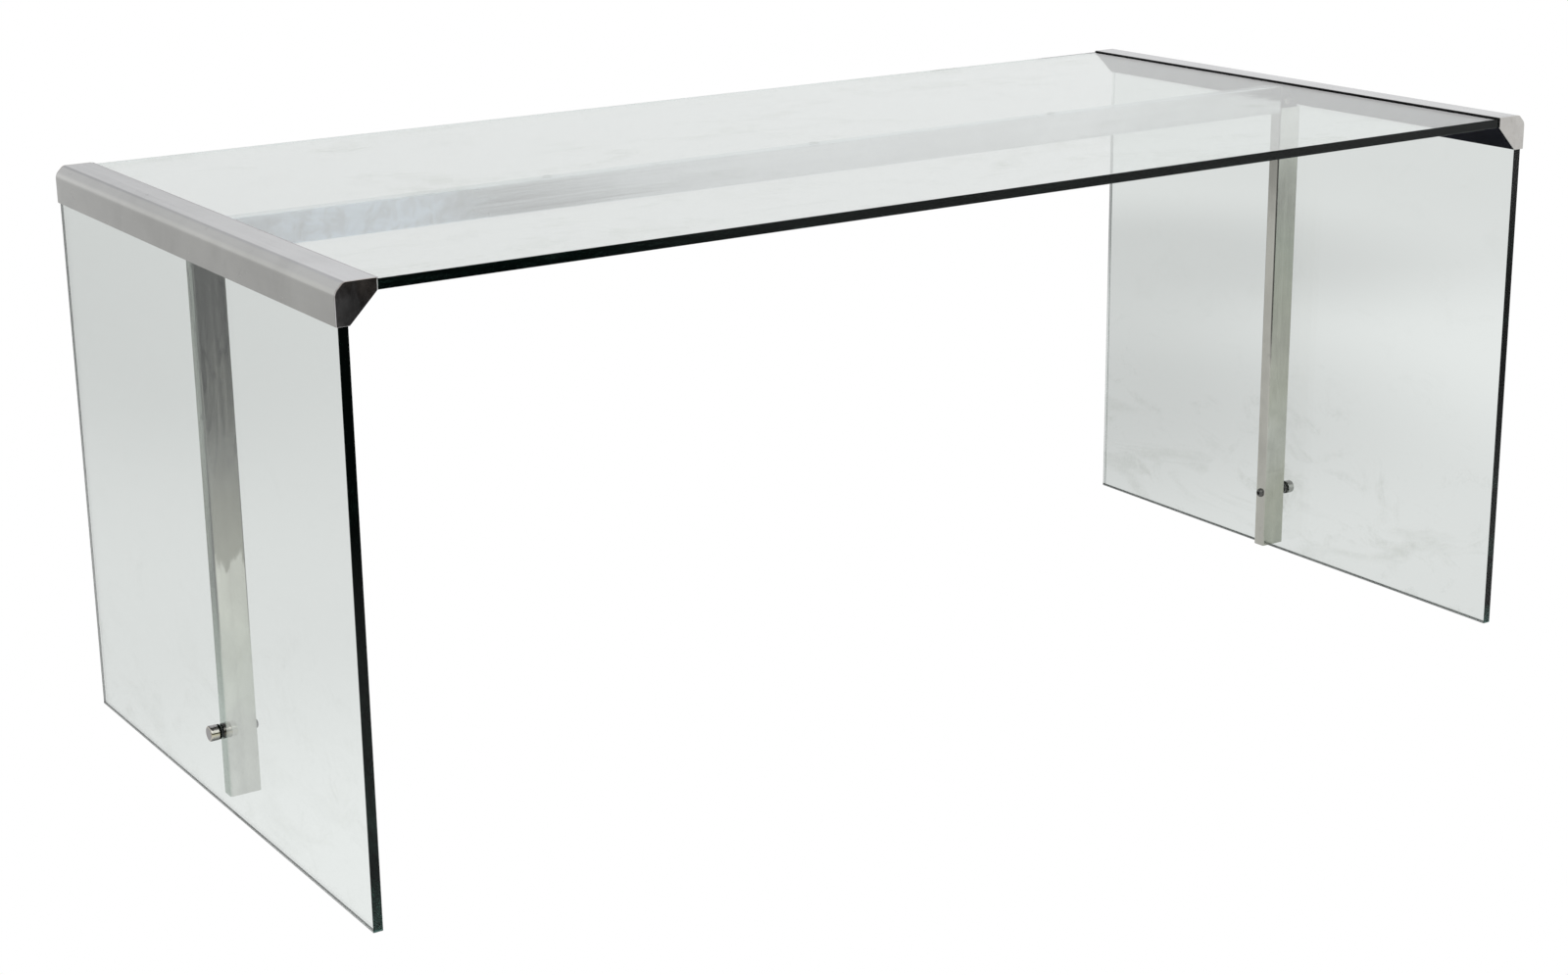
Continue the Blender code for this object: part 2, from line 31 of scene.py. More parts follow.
# ---------------------------------------------------------------- node helpers
class Tree:
    """A small helper for building one material's node tree."""

    def __init__(self, name):
        self.material = bpy.data.materials.new(name)
        self.material.use_nodes = True
        self.tree = self.material.node_tree
        self.shader = self.tree.nodes["Principled BSDF"]
        self.output = self.tree.nodes["Material Output"]
        geometry = self.tree.nodes.new("ShaderNodeNewGeometry")
        self.place = geometry.outputs["Position"]
        self.facing = geometry.outputs["True Normal"]

    def link(self, source, target):
        self.tree.links.new(source, target)

    def put(self, socket, value):
        """Links an output, or sets a plain value. A colour gets its alpha here."""
        if isinstance(value, bpy.types.NodeSocket):
            self.link(value, socket)
        elif isinstance(value, tuple) and len(value) == 3:
            socket.default_value = (*value, 1.0)
        else:
            socket.default_value = value

    def set(self, **values):
        for name, value in values.items():
            self.put(self.shader.inputs[name.replace("_", " ")], value)

    def math(self, operation, a, b=0.0, c=0.0, clamp=False):
        node = self.tree.nodes.new("ShaderNodeMath")
        node.operation = operation
        node.use_clamp = clamp
        for socket, value in zip(node.inputs, (a, b, c)):
            self.put(socket, value)
        return node.outputs[0]

    def both(self, a, b):
        return self.math("MULTIPLY", a, b)

    def cut(self, value, mask, share=1.0):
        """A number lowered by a share of itself where mask is 1. A negative share raises it."""
        return self.both(value, self.math("MULTIPLY_ADD", mask, -share, 1.0))

    def stretch(self, scale=(1, 1, 1), offset=(0, 0, 0)):
        """World position, scaled along each axis."""
        node = self.tree.nodes.new("ShaderNodeMapping")
        self.link(self.place, node.inputs["Vector"])
        node.inputs["Scale"].default_value = scale
        node.inputs["Location"].default_value = offset
        return node.outputs[0]

    def noise(self, vector, scale, detail=3.0, rough=0.5, distort=0.0):
        node = self.tree.nodes.new("ShaderNodeTexNoise")
        self.link(vector, node.inputs["Vector"])
        node.inputs["Scale"].default_value = scale
        node.inputs["Detail"].default_value = detail
        node.inputs["Roughness"].default_value = rough
        node.inputs["Distortion"].default_value = distort
        return node.outputs["Fac"]

    def spots(self, vector, scale):
        node = self.tree.nodes.new("ShaderNodeTexVoronoi")
        self.link(vector, node.inputs["Vector"])
        node.inputs["Scale"].default_value = scale
        return node.outputs["Distance"]

    def span(self, value, low, high, start=0.0, end=1.0, smooth=False):
        """value from low..high to start..end, clamped."""
        node = self.tree.nodes.new("ShaderNodeMapRange")
        node.clamp = True
        if smooth:
            node.interpolation_type = "SMOOTHSTEP"
        for name, number in (("From Min", low), ("From Max", high), ("To Min", start), ("To Max", end)):
            node.inputs[name].default_value = number
        self.put(node.inputs["Value"], value)
        return node.outputs["Result"]

    def mix(self, factor, a, b, blend_type="MIX"):
        node = self.tree.nodes.new("ShaderNodeMix")
        node.data_type = "RGBA"
        node.blend_type = blend_type
        self.put(node.inputs["Factor"], factor)
        self.put(node.inputs[6], a)
        self.put(node.inputs[7], b)
        return node.outputs[2]

    def blend(self, factor, a, b):
        """Colour a where factor is 0, b where it is 1."""
        return self.mix(factor, a, b)

    def shade(self, colour, level):
        """A colour multiplied by a number."""
        return self.mix(1.0, colour, level, "MULTIPLY")

    def darken(self, colour, mask, share):
        """A colour darkened by a share where mask is 1."""
        return self.shade(colour, self.math("MULTIPLY_ADD", mask, -share, 1.0))

    def ramp(self, value, stops):
        """Colours at places along a value, blended between them."""
        node = self.tree.nodes.new("ShaderNodeValToRGB")
        first, last = stops[0][0], stops[-1][0]
        self.link(self.span(value, first, last), node.inputs["Fac"])
        elements = node.color_ramp.elements
        while len(elements) < len(stops):
            elements.new(0.5)
        for element, (place, colour) in zip(elements, stops):
            element.position = (place - first) / (last - first)
            element.color = (*colour, 1.0)
        return node.outputs["Color"]

    def tone(self, colour):
        """A plain colour, or (axis, stops): colours at places along a world axis.

        Noise moves each place by up to 45 mm, so that the colours meet in uneven edges."""
        if len(colour) == 3:
            return colour
        index, stops = colour
        scale = [14 if axis == index else 75 for axis in (X, Y, Z)]
        uneven = self.noise(self.stretch(scale), 1.0, 3.0, 0.55, 0.5)
        shift = self.math("MULTIPLY_ADD", uneven, 0.09, -0.045)
        return self.ramp(self.math("ADD", self.axis(index), shift), stops)

    def part(self, vector, index):
        node = self.tree.nodes.new("ShaderNodeSeparateXYZ")
        self.link(vector, node.inputs[0])
        return node.outputs[index]

    def axis(self, index):
        """The place along one world axis, in metres."""
        return self.part(self.place, index)

    def sides(self, left, right):
        """One number on the left half of the desk, another on the right half."""
        return self.span(self.axis(X), -0.5, 0.5, left, right)

    def normal(self, index):
        """One part of the surface's direction, -1 to 1."""
        return self.part(self.facing, index)

    def faces(self, index):
        """How squarely the surface faces along an axis either way, 0 to 1."""
        return self.math("ABSOLUTE", self.normal(index))

    def bump(self, height, strength, distance):
        node = self.tree.nodes.new("ShaderNodeBump")
        node.inputs["Strength"].default_value = strength
        node.inputs["Distance"].default_value = distance
        self.link(height, node.inputs["Height"])
        self.link(node.outputs[0], self.shader.inputs["Normal"])


def weights(axis, *stops):
    """Plain numbers at places along an axis, as the greys that Tree.tone takes."""
    return axis, [(place, (weight, weight, weight)) for place, weight in stops]


# ----------------------------------------------------------------------- steel
# Noise scales for each axis. A small number draws the grain out along that axis.
ALONG_X = (3, 220, 220)
ALONG_Y = (220, 3, 220)
ALONG_Z = (220, 220, 3)
EVEN = (220, 220, 220)
COARSE = (90, 90, 90)
FINE = (300, 300, 300)


def streaks(t, grain, strength):
    """Broad bands along the grain with smaller patches among them, as a level around 1."""
    band = t.noise(t.stretch([0.22 * scale for scale in grain], (5.0, 0.3, 1.1)), 1.0, 3.0, 0.5, 0.8)
    patch = t.noise(t.stretch((1, 1, 0.45), (0.7, 4.0, 2.2)), 24.0, 4.0, 0.6, 1.6)
    levels = [t.span(noise, 0.3, 0.7, -strength, strength) for noise in (band, patch)]
    return t.math("ADD", t.math("ADD", *levels), 1.0)


def wavy_lines(t):
    """1 on thin wavy lines that run up the piece."""
    wave = t.noise(t.stretch((52, 52, 9), (0.4, 0.0, 2.0)), 1.0, 1.0, 0.4, 1.4)
    return t.span(t.math("ABSOLUTE", t.math("SUBTRACT", wave, 0.5)), 0.01, 0.06, 1.0, 0.0)


def film_weight(t, film):
    """The weight of a dull layer, in part a painted sheen, uneven from place to place: a plain number, or
    stops along an axis.
    """
    cover = t.noise(t.stretch((1, 1, 1), (1.3, 6.0, 0.2)), 40.0, 4.0, 0.6, 1.0)
    if isinstance(film, float):
        return t.span(cover, 0.40, 0.70, 0.0, film)
    return t.math("MULTIPLY", t.tone(film), t.span(cover, 0.35, 0.65, 0.7, 1.3), clamp=True)


def steel(name, grain, colour, rough, dull=0.05, scratch=0.5, **extra):
    """Stainless steel with a fine grain, cloudy worn patches, faint marks and, where asked, painted light
    and shade.

    side is the colour of the faces that look along X: painted light and shade that sets them apart from
    the front. top is that of the upper and lower faces, a painted reflection, and these faces stay free of
    the dull layer. fold is the painted shade of the small facets beside the upper face. streak is the
    strength of broad bands. veins is the height above which there are wavy dark lines, and corner the
    height above which the upright corners are darkened as a painted reflection. film is the weight of a
    dull layer, in part a painted reflection, and dirt its colour."""
    t = Tree(name)
    fine = t.noise(t.stretch(grain), 1.0, 4.0, 0.6)
    cloud = t.noise(t.stretch(), 9.0, 3.0, 0.55, 0.6)
    broad = t.noise(t.stretch((1, 1, 1), (3.1, 1.7, 0.4)), 2.6, 2.0)
    marks = t.span(t.noise(t.stretch((1, 1, 1), (9.0, 2.0, 5.0)), 34.0, 5.0, 0.7, 1.5), 0.60, 0.72)
    flat = t.span(t.faces(Z), 0.5, 0.9)

    base = t.tone(colour)
    # Painted light and shade on the faces that look along X.
    if "side" in extra:
        base = t.blend(t.span(t.faces(X), 0.5, 0.9), base, t.tone(extra["side"]))
    # Painted reflection on the upper and lower faces.
    if "top" in extra:
        base = t.blend(flat, base, extra["top"])
    # Painted shade on the small facets beside the upper face.
    if "fold" in extra:
        facet = t.both(t.span(t.faces(Z), 0.88, 0.95), t.span(t.faces(Z), 0.9995, 0.9988))
        base = t.shade(base, t.span(facet, 0.0, 1.0, 1.0, extra["fold"]))
    base = t.shade(base, t.span(cloud, 0.35, 0.70, 1.0, 0.88))
    if "streak" in extra:
        base = t.shade(base, streaks(t, grain, extra["streak"]))
    if "veins" in extra:
        line = wavy_lines(t)
        base = t.darken(base, t.both(line, t.span(t.axis(Z), extra["veins"], extra["veins"] + 0.08)), 0.42)
    # Painted reflection: the upright corners darken above a height.
    if "corner" in extra:
        turning = t.both(t.span(t.faces(X), 0.10, 0.30), t.span(t.faces(Y), 0.10, 0.30))
        high = t.span(t.axis(Z), extra["corner"], extra["corner"] + 0.06)
        base = t.darken(base, t.both(turning, high), 0.72)
    base = t.darken(base, marks, 0.10)

    # A dull layer, in part a painted reflection, such as the bluish sheen on the beam.
    if "film" in extra:
        film = film_weight(t, extra["film"])
        if "top" in extra:
            film = t.cut(film, flat)
        if "veins" in extra:
            film = t.cut(film, line)
        base = t.blend(film, base, extra.get("dirt", (0.20, 0.16, 0.12)))
        t.set(Metallic=t.math("SUBTRACT", 1.0, film))
    else:
        t.set(Metallic=1.0)
    t.set(Base_Color=base)

    level = t.span(fine, 0.3, 0.7, rough - dull, rough + dull)
    level = t.math("ADD", level, t.span(broad, 0.3, 0.7, -0.02, 0.03))
    t.set(Roughness=t.math("MULTIPLY_ADD", marks, 0.10, level))
    t.bump(t.math("MULTIPLY_ADD", cloud, 0.6, fine), 0.05 * scratch, 0.002)
    return t.material


def knob_steel(name, bands):
    """Polished steel with painted light and dark reflection bands, set by how far its surface looks up."""
    t = Tree(name)
    haze = t.noise(t.stretch(), 300.0, 3.0, 0.6)
    t.set(Base_Color=t.shade(t.ramp(t.normal(Z), bands), t.span(haze, 0.3, 0.7, 0.92, 1.0)))
    t.set(Roughness=t.span(haze, 0.3, 0.7, 0.10, 0.16), Metallic=1.0)
    return t.material


# ----------------------------------------------------------------------- glass
bushing_low, bushing_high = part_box("left_glass_bushing")
BOLT_HEIGHT = (bushing_low.z + bushing_high.z) / 2
HOLE_RADIUS = bushing_high.y + 0.0008
PANEL_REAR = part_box("left_leg_glass")[1].y


def bolt_hole(t):
    """1 on the wall of the bolt's hole and just round it."""
    high = t.math("SUBTRACT", t.axis(Z), BOLT_HEIGHT)
    away = t.math("SQRT", t.math("ADD", t.both(high, high), t.both(t.axis(Y), t.axis(Y))))
    return t.span(away, HOLE_RADIUS + 0.0001, HOLE_RADIUS - 0.0001)


def floor_smears(t, dust):
    """Long wiping marks in the lowest 0.24 m of a panel."""
    smear = t.noise(t.stretch((1, 0.9, 3.0), (2.0, 3.4, 1.0)), 4.5, 4.0, 0.6, 0.8)
    smear = t.both(t.span(smear, 0.53, 0.75), t.span(t.axis(Z), 0.24, 0.10))
    return t.both(smear, t.span(dust, 0.35, 0.60, 0.2, 0.8))


def glass(name, clear, smudge, edge_body, smudge_height=0.0, rear_dark=0.0):
    """Clear float glass, green in its depth and dark at its edges, with faint dust and wiping marks, and
    painted shade at a leg panel's foot and in its bolt hole.

    smudge and edge_body are how much light the marks and the edges hold back. On a leg panel the marks
    gather below smudge_height, more on the right one, and the rear edge, darkened as painted shade, holds
    back rear_dark of the light on the left one and a fifth of that on the right one."""
    t = Tree(name)
    edge = t.span(t.faces(Y), 0.3, 0.6)
    # foot is the lowest 2 mm or so, painted grey and holding back light as a painted shade.
    foot = t.span(t.axis(Z), 0.0022, 0.0008)
    # bore is the bolt's hole, painted almost black and holding back all light as a painted shade.
    bore = bolt_hole(t)
    wipe = t.noise(t.stretch((1.0, 1.6, 2.6)), 5.0, 5.0, 0.62, 1.2)
    dust = t.noise(t.stretch((1, 1, 1), (4.0, 1.0, 2.0)), 26.0, 6.0, 0.75, 0.6)
    specks = t.span(t.spots(t.stretch(), 46.0), 0.045, 0.02)
    marks = t.both(t.span(wipe, 0.52, 0.72), t.span(dust, 0.42, 0.62))
    if smudge_height:
        marks = t.both(marks, t.span(t.axis(Z), smudge_height, 0.02, 0.10, 1.0))
        marks = t.math("MAXIMUM", marks, floor_smears(t, dust))
        marks = t.both(marks, t.sides(0.45, 1.0))
    marks = t.cut(marks, edge)

    base = t.blend(marks, clear, (0.80, 0.82, 0.78))
    base = t.blend(edge, base, (0.35, 0.88, 0.75))
    light = t.cut(1.0, marks, smudge)
    light = t.cut(light, foot, 0.7)
    light = t.cut(light, edge, edge_body)
    # Painted shade along the rear edge of the leg panels.
    if rear_dark:
        rear = t.both(edge, t.span(t.axis(Y), PANEL_REAR - 0.02, PANEL_REAR - 0.01))
        base = t.blend(rear, base, (0.020, 0.034, 0.030))
        light = t.cut(light, t.both(rear, t.sides(rear_dark, 0.2 * rear_dark)))
    base = t.blend(foot, base, (0.20, 0.21, 0.205))
    t.set(Base_Color=t.blend(bore, base, (0.002, 0.006, 0.004)))
    t.set(Transmission_Weight=t.cut(light, bore))
    t.set(Roughness=t.both(t.math("MAXIMUM", marks, t.both(specks, 0.5)), 0.02))
    t.set(IOR=1.52, Metallic=0.0, Specular_Tint=(0.3, 0.3, 0.3))

    depth = t.tree.nodes.new("ShaderNodeVolumeAbsorption")
    depth.inputs["Color"].default_value = (0.785, 0.840, 0.815, 1.0)
    depth.inputs["Density"].default_value = 36.0
    t.link(depth.outputs[0], t.output.inputs["Volume"])
    return t.material


# ------------------------------------------------- lacquer, rubber and plastics
def black_lacquer(name):
    """Smooth black lacquer with small grey chips."""
    t = Tree(name)
    cloud = t.noise(t.stretch(), 14.0, 4.0, 0.6, 0.4)
    peel = t.noise(t.stretch(), 420.0, 2.0)
    chips = t.span(t.noise(t.stretch((1, 1, 1), (2.0, 5.0, 7.0)), 60.0, 5.0, 0.7), 0.68, 0.72)
    base = t.blend(t.span(cloud, 0.3, 0.7), (0.005, 0.0055, 0.009), (0.011, 0.012, 0.017))
    t.set(Base_Color=t.blend(t.both(chips, 0.5), base, (0.10, 0.10, 0.10)))
    t.set(Roughness=t.span(cloud, 0.3, 0.7, 0.30, 0.45), Metallic=0.0, IOR=1.05)
    t.bump(peel, 0.05, 0.0005)
    return t.material


def rubber(name, gloss=0.12, low=(0.005, 0.005, 0.005), high=(0.013, 0.013, 0.012)):
    """Matt rubber or filled sealant with a fine grain, cloudy between two colours."""
    t = Tree(name)
    grain = t.noise(t.stretch(), 900.0, 3.0, 0.6)
    cloud = t.noise(t.stretch(), 22.0, 4.0, 0.6)
    t.set(Base_Color=t.blend(t.span(cloud, 0.3, 0.7), low, high))
    t.set(Roughness=t.span(grain, 0.3, 0.7, 0.55, 0.72), Metallic=0.0, Specular_IOR_Level=gloss)
    t.bump(grain, 0.10, 0.0004)
    return t.material


def sealant(name):
    """Milky clear sealant."""
    t = Tree(name)
    cloud = t.noise(t.stretch(), 180.0, 3.0)
    t.set(Base_Color=t.blend(cloud, (0.60, 0.61, 0.60), (0.78, 0.79, 0.78)))
    t.set(Roughness=t.span(cloud, 0.3, 0.7, 0.25, 0.45), IOR=1.42, Metallic=0.0, Transmission_Weight=0.25)
    return t.material


def clear_vinyl(name):
    """Clear soft plastic."""
    t = Tree(name)
    cloud = t.noise(t.stretch(), 300.0, 3.0)
    t.set(Base_Color=t.blend(cloud, (0.90, 0.92, 0.91), (0.98, 0.99, 0.98)))
    t.set(Roughness=t.span(cloud, 0.3, 0.7, 0.12, 0.25), IOR=1.45, Metallic=0.0, Transmission_Weight=1.0)
    return t.material


# ------------------------------------------------------- the looks, by sub-part
def glass_looks():
    leg = {"smudge_height": 0.36, "rear_dark": 0.75}
    return {
        "top_glass": glass("top_glass_look", (1.0, 1.0, 1.0), 0.07, 0.003),
        "leg_glass": glass("leg_glass_look", (0.990, 1.0, 0.994), 0.20, 0.002, **leg),
    }


def rail_looks():
    """Satin covers with their grain along Y, painted reflection bands along Y on their tops and outer
    faces, and painted shade on the left fold.
    """
    # Painted reflections: the tops are lighter at the front and darker to the rear, the left one more so.
    left_top = (
        (-0.42, (0.565, 0.569, 0.579)),
        (0.00, (0.485, 0.490, 0.495)),
        (0.42, (0.415, 0.420, 0.428)),
    )
    right_top = (
        (-0.42, (0.592, 0.598, 0.602)),
        (0.42, (0.550, 0.555, 0.565)),
    )
    # Painted reflection: the outer faces lighten towards the rear.
    outer_face = (
        (-0.42, (0.700, 0.700, 0.672)),
        (0.10, (0.705, 0.705, 0.680)),
        (0.42, (0.790, 0.790, 0.770)),
    )
    side = (Y, outer_face)
    return {
        # fold=0.80 is painted shade on the left rail's fold.
        "left_rail": steel("left_rail_steel", ALONG_Y, (Y, left_top), 0.20, side=side, fold=0.80),
        "right_rail": steel("right_rail_steel", ALONG_Y, (Y, right_top), 0.20, side=side),
    }


def cap_looks():
    """Mirror-like end faces. The left ones carry a painted reflection, darker towards the top."""
    # Painted reflection: light at the foot of the left caps, dark towards the top.
    left = (
        (0.686, (1.00, 0.98, 0.98)),
        (0.706, (0.90, 0.88, 0.88)),
        (0.720, (0.54, 0.505, 0.49)),
        (0.733, (0.57, 0.51, 0.47)),
    )
    right = (0.64, 0.625, 0.60)
    return {
        "left_cap": steel("left_cap_steel", COARSE, (Z, left), 0.07, 0.02, 0.35, film=0.04),
        "right_cap": steel("right_cap_steel", EVEN, right, 0.09, 0.03, 1.0, film=0.10),
    }


def beam_looks():
    """Polished steel with painted reflection bands along its front, a painted bluish sheen over its left
    part and a painted lighter top.
    """
    # Painted reflection bands along the front.
    front = (
        (-0.30, (0.76, 0.78, 0.80)),
        (-0.05, (0.77, 0.78, 0.79)),
        (0.30, (0.74, 0.75, 0.75)),
        (0.45, (0.77, 0.78, 0.78)),
        (0.60, (0.77, 0.775, 0.775)),
        (0.70, (0.68, 0.69, 0.69)),
    )
    # Painted reflection: the bluish layer over the left part.
    film = weights(
        X,
        (-0.85, 0.62),
        (-0.76, 0.76),
        (-0.70, 0.90),
        (-0.61, 1.00),
        (-0.54, 0.60),
        (-0.48, 0.12),
        (-0.41, 0.03),
        (0.60, 0.03),
        (0.75, 0.00),
    )
    # top is a painted reflection on the upper and lower faces.
    finish_and_painted_light = {"top": (0.84, 0.87, 0.91), "film": film, "dirt": (0.74, 0.85, 0.99)}
    return {"beam": steel("beam_steel", ALONG_X, (X, front), 0.12, 0.04, 1.0, **finish_and_painted_light)}


def left_fin_look():
    """Polished steel with painted reflection bands and a dark band, wavy dark lines above it, a thin dull
    layer round its middle, painted light and shade on its narrow faces and painted dark reflections on its
    upper corners.
    """
    # Painted reflection bands up the front, with a dark band from 0.315 to 0.353 m.
    front = (
        (0.000, (0.59, 0.60, 0.57)),
        (0.105, (0.605, 0.61, 0.575)),
        (0.155, (0.64, 0.66, 0.60)),
        (0.205, (0.58, 0.595, 0.53)),
        (0.305, (0.64, 0.64, 0.57)),
        (0.315, (0.34, 0.34, 0.28)),
        (0.353, (0.34, 0.34, 0.28)),
        (0.402, (0.37, 0.37, 0.31)),
        (0.450, (0.54, 0.547, 0.49)),
        (0.545, (0.78, 0.78, 0.69)),
        (0.600, (0.62, 0.63, 0.58)),
        (0.690, (0.60, 0.61, 0.56)),
    )
    # Painted light and shade on the narrow faces, darkest at 0.30 m.
    side = (
        (0.05, (0.37, 0.42, 0.37)),
        (0.12, (0.43, 0.50, 0.445)),
        (0.20, (0.27, 0.32, 0.26)),
        (0.30, (0.06, 0.08, 0.05)),
        (0.40, (0.26, 0.28, 0.22)),
        (0.50, (0.66, 0.68, 0.62)),
        (0.60, (0.55, 0.57, 0.52)),
    )
    film = weights(Z, (0.36, 0.00), (0.42, 0.06), (0.47, 0.13), (0.53, 0.13), (0.59, 0.03), (0.69, 0.00))
    # corner paints the upper corners dark as a reflection.
    finish_and_painted_light = {"streak": 0.07, "corner": 0.20, "veins": 0.40, "film": film, "dirt": (0.50, 0.49, 0.46)}
    return steel("left_fin_steel", ALONG_Z, (Z, front), 0.12, 0.05, 1.2, side=(Z, side), **finish_and_painted_light)


def right_fin_look():
    """Polished steel with painted reflection bands, lighter towards the middle of its height, darker
    painted narrow faces and painted dark reflections on its upper corners.
    """
    # Painted reflection bands up the front.
    front = (
        (0.000, (0.48, 0.50, 0.44)),
        (0.100, (0.50, 0.51, 0.44)),
        (0.180, (0.60, 0.61, 0.56)),
        (0.257, (0.54, 0.55, 0.48)),
        (0.335, (0.68, 0.685, 0.61)),
        (0.410, (0.86, 0.88, 0.77)),
        (0.486, (0.82, 0.86, 0.76)),
        (0.560, (0.71, 0.72, 0.66)),
        (0.680, (0.70, 0.72, 0.66)),
    )
    # Painted shade: the narrow faces are darker than the front. corner=0.30 paints the upper corners dark
    # as a reflection.
    side = (0.50, 0.50, 0.455)
    return steel(
        "right_fin_steel", ALONG_Z, (Z, front), 0.13, 0.05, 1.2, side=side, streak=0.05, corner=0.30
    )


def knob_looks():
    """Painted reflection bands, by how far the round surface looks up."""
    left = (
        (-0.90, (0.06, 0.06, 0.06)),
        (-0.72, (0.10, 0.10, 0.10)),
        (-0.45, (0.24, 0.24, 0.23)),
        (-0.30, (0.46, 0.45, 0.42)),
        (-0.15, (0.62, 0.59, 0.50)),
        (-0.06, (0.66, 0.62, 0.51)),
        (-0.03, (0.31, 0.30, 0.30)),
        (0.03, (0.31, 0.30, 0.30)),
        (0.07, (0.62, 0.58, 0.44)),
        (0.12, (0.55, 0.50, 0.36)),
        (0.20, (0.07, 0.065, 0.04)),
        (0.26, (0.07, 0.065, 0.04)),
        (0.36, (0.90, 0.88, 0.78)),
        (0.52, (0.84, 0.81, 0.74)),
        (0.64, (0.22, 0.21, 0.20)),
        (0.74, (0.06, 0.055, 0.05)),
        (0.87, (0.10, 0.09, 0.09)),
        (0.94, (0.52, 0.48, 0.49)),
        (1.00, (0.56, 0.53, 0.54)),
    )
    right = (
        (-1.00, (0.16, 0.17, 0.16)),
        (-0.30, (0.36, 0.37, 0.35)),
        (0.10, (0.40, 0.41, 0.39)),
        (0.40, (0.50, 0.51, 0.48)),
        (0.75, (0.20, 0.20, 0.19)),
        (1.00, (0.38, 0.38, 0.37)),
    )
    return {
        "left_knob": knob_steel("left_knob_steel", left),
        "right_knob": knob_steel("right_knob_steel", right),
    }


def small_part_looks():
    """Screws and bolts, lacquered supports, seals, washers, beads and pads."""
    washer_low, washer_high = (0.001, 0.002, 0.001), (0.003, 0.005, 0.003)
    grey_low, grey_high = (0.36, 0.35, 0.36), (0.46, 0.45, 0.46)
    return {
        "polished": steel("polished_steel", FINE, (0.60, 0.57, 0.52), 0.12, 0.03, 0.6),
        "bolt": steel("bolt_steel", FINE, (0.13, 0.13, 0.125), 0.20, 0.05, 0.8),
        "lacquer": black_lacquer("support_lacquer"),
        "rubber": rubber("seal_rubber"),
        "washer_rubber": rubber("washer_rubber", 0.02, washer_low, washer_high),
        # The left seal is the same black rubber as the others, painted grey as a sheen.
        "painted_sheen_seal": rubber("left_seal_painted_sheen", 0.5, grey_low, grey_high),
        "sealant": sealant("bead_sealant"),
        "vinyl": clear_vinyl("pad_vinyl"),
    }


looks = {
    **glass_looks(),
    **rail_looks(),
    **cap_looks(),
    **beam_looks(),
    "left_fin": left_fin_look(),
    "right_fin": right_fin_look(),
    **knob_looks(),
    **small_part_looks(),
}

# Text in a node's name and the look that it brings. A later row wins over an earlier one.
KINDS = (
    ("top_glass", "top_glass"),
    ("leg_glass", "leg_glass"),
    ("left_rail_cover", "left_rail"),
    ("right_rail_cover", "right_rail"),
    ("end_cap", "right_cap"),
    ("left_front_end_cap", "left_cap"),
    ("left_rear_end_cap", "left_cap"),
    ("centre_beam", "beam"),
    ("beam_pad", "vinyl"),
    ("edge_bead", "rubber"),
    ("left_front_edge_bead", "sealant"),
    ("left_rear_edge_bead", "sealant"),
    ("corner_support", "lacquer"),
    ("_lug", "lacquer"),
    ("left_fin", "left_fin"),
    ("right_fin", "right_fin"),
    ("fin_plug", "rubber"),
    ("glazing_seal", "rubber"),
    ("left_glazing_seal", "painted_sheen_seal"),
    ("packing", "rubber"),
    ("washer", "washer_rubber"),
    ("bushing", "washer_rubber"),
    ("lug_screw", "polished"),
    ("lug_nut", "polished"),
    ("glass_bolt", "bolt"),
    ("left_bolt_knob", "left_knob"),
    ("right_bolt_knob", "right_knob"),
)

for name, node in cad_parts.items():
    found = [look for text, look in KINDS if text in name]
    node.material_slots[0].link = "OBJECT"
    node.material_slots[0].material = looks[found[-1]]


